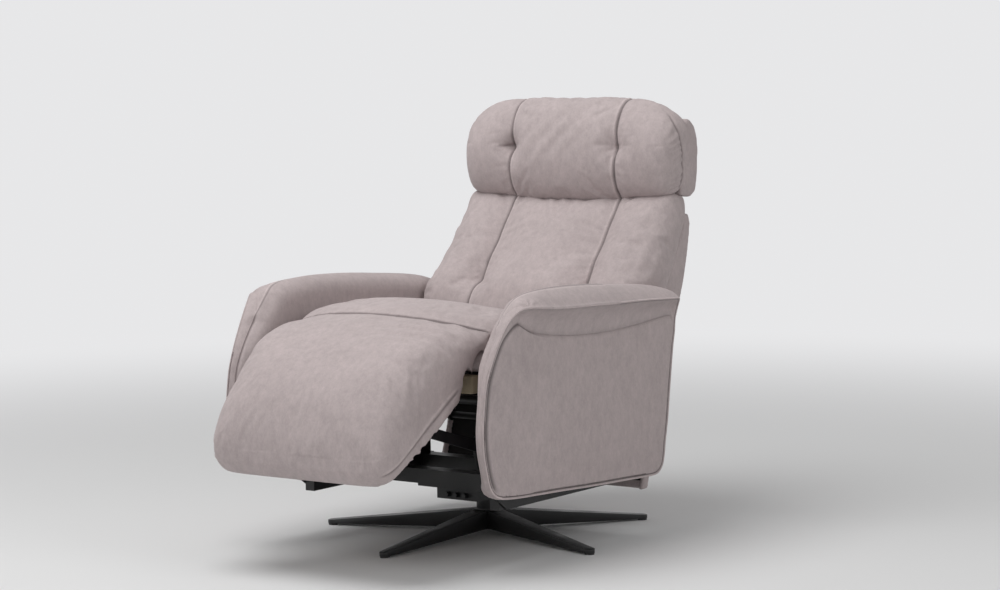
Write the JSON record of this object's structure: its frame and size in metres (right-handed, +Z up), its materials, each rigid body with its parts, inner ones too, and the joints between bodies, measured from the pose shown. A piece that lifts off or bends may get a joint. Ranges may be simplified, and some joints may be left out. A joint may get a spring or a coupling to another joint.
{
  "type": "star base swivel recliner",
  "caption": "Reclining armchair on a five-armed star base: it swivels, the legrest swings out as the torque tube turns, the back reclines with the seat, and the headrest tilts.",
  "frame": {"origin": "on the floor, under the swivel axis", "axes": "+Z up, -Y the way the chair faces, +X the sitter's left"},
  "size_m": [0.796, 1.1729, 1.0006],
  "materials": {
    "upholstery": "matt, brushed suede nap",
    "powder_coat": "fine-textured satin powder coat",
    "plain_steel": "zinc-plated satin",
    "black_plastic": "moulded, fine grain",
    "white_plastic": "moulded, plain",
    "board": "bare plywood",
    "rail_lining": "plain woven lining"
  },
  "bodies": {
    "base": {"star_base": "powder_coat", "base_glides": "black_plastic", "column": "powder_coat", "column_bush": "white_plastic", "thrust_washer": "white_plastic", "hub_bolt": "plain_steel"},
    "chassis": {"swivel_spindle": "plain_steel", "swivel_plate": "powder_coat", "chassis_frame": "powder_coat", "side_plate_left": "powder_coat", "side_plate_right": "powder_coat", "chassis_pins": "plain_steel", "panel_spacers": "black_plastic", "panel_bolts": "plain_steel", "panel_feet": "black_plastic", "control_box": "black_plastic", "side_board_left": "board", "side_board_right": "board", "side_panel_left": "upholstery", "side_panel_right": "upholstery", "arm_pad_left": "upholstery", "arm_pad_right": "upholstery"},
    "seat": {"seat_frame": "powder_coat", "seat_front_rail": "rail_lining", "seat_springs": "plain_steel", "seat_cushion": "upholstery", "legrest_brackets": "powder_coat", "seat_pins": "plain_steel"},
    "torque_tube_body": {"torque_tube": "powder_coat"},
    "push_link_pair": {"push_links": "plain_steel"},
    "leg_drive": {"leg_motor": "black_plastic"},
    "leg_drive_rod": {"leg_motor_rod": "plain_steel"},
    "recline_drive": {"recline_motor": "black_plastic"},
    "recline_drive_rod": {"recline_motor_rod": "plain_steel"},
    "recline_link_pair": {"recline_links": "plain_steel"},
    "legrest": {"legrest_frame": "powder_coat", "legrest_board": "board", "legrest_pad": "upholstery"},
    "back": {"back_frame": "powder_coat", "back_springs": "plain_steel", "back_pad": "upholstery", "back_shell": "upholstery", "headrest_hinge_plates": "powder_coat"},
    "headrest": {"headrest_frame": "powder_coat", "headrest_pad": "upholstery", "headrest_shell": "upholstery"}
  },
  "joints": [
    {"name": "swivel", "type": "hinge", "parent": "base", "child": "chassis", "pos_m": [0, 0, 0.113], "axis": [0, 0, 1], "continuous": true},
    {"name": "seat_tilt", "type": "hinge", "parent": "chassis", "child": "seat", "pos_m": [0, 0.1, 0.33], "axis": [1, 0, 0], "range_deg": [-4.5, 5.5]},
    {"name": "back_recline", "type": "hinge", "parent": "seat", "child": "back", "pos_m": [0, 0.15, 0.36], "axis": [1, 0, 0], "range_deg": [-13.6, 16.6]},
    {"name": "recline_link", "type": "hinge", "parent": "chassis", "child": "recline_link_pair", "pos_m": [0, 0.135, 0.36], "axis": [1, 0, 0], "range_deg": [-17.1, 20.9]},
    {"name": "recline_motor_pivot", "type": "hinge", "parent": "chassis", "child": "recline_drive", "pos_m": [0, -0.12, 0.23], "axis": [1, 0, 0], "range_deg": [-2.1, 2.6]},
    {"name": "recline_rod", "type": "slide", "parent": "recline_drive", "child": "recline_drive_rod", "axis": [0, 0.9994, 0.0345], "range_m": [-0.0352, 0.043]},
    {"name": "legrest_swing", "type": "hinge", "parent": "seat", "child": "legrest", "pos_m": [0, -0.455, 0.42], "axis": [1, 0, 0], "range_deg": [-24, 52]},
    {"name": "torque_tube_turn", "type": "hinge", "parent": "seat", "child": "torque_tube_body", "pos_m": [0, -0.17, 0.335], "axis": [1, 0, 0], "range_deg": [-24.2, 52.2]},
    {"name": "push_link_swing", "type": "hinge", "parent": "torque_tube_body", "child": "push_link_pair", "pos_m": [0, -0.19084, 0.21682], "axis": [1, 0, 0], "range_deg": [-50.6, 23.6]},
    {"name": "leg_motor_swing", "type": "hinge", "parent": "seat", "child": "leg_drive", "pos_m": [0, 0.03, 0.33], "axis": [1, 0, 0], "range_deg": [-4.2, 8.9]},
    {"name": "leg_rod", "type": "slide", "parent": "leg_drive", "child": "leg_drive_rod", "axis": [0, -0.9908, -0.1352], "range_m": [-0.0388, 0.0181]},
    {"name": "headrest_tilt", "type": "hinge", "parent": "back", "child": "headrest", "pos_m": [0, 0.425, 0.742], "axis": [1, 0, 0], "range_deg": [-30, 6]}
  ],
  "couplings": [
    {"joint": "back_recline", "follows": "seat_tilt", "ratio": 3},
    {"joint": "recline_link", "follows": "seat_tilt", "ratio": 3.77},
    {"joint": "recline_motor_pivot", "follows": "seat_tilt", "ratio": 0.437},
    {"joint": "recline_rod", "follows": "seat_tilt", "m_per_rad": 0.4455},
    {"joint": "torque_tube_turn", "follows": "legrest_swing", "ratio": 1},
    {"joint": "push_link_swing", "follows": "legrest_swing", "ratio": -0.968},
    {"joint": "leg_motor_swing", "follows": "legrest_swing", "ratio": 0.168},
    {"joint": "leg_rod", "follows": "legrest_swing", "m_per_rad": -0.0425}
  ]
}
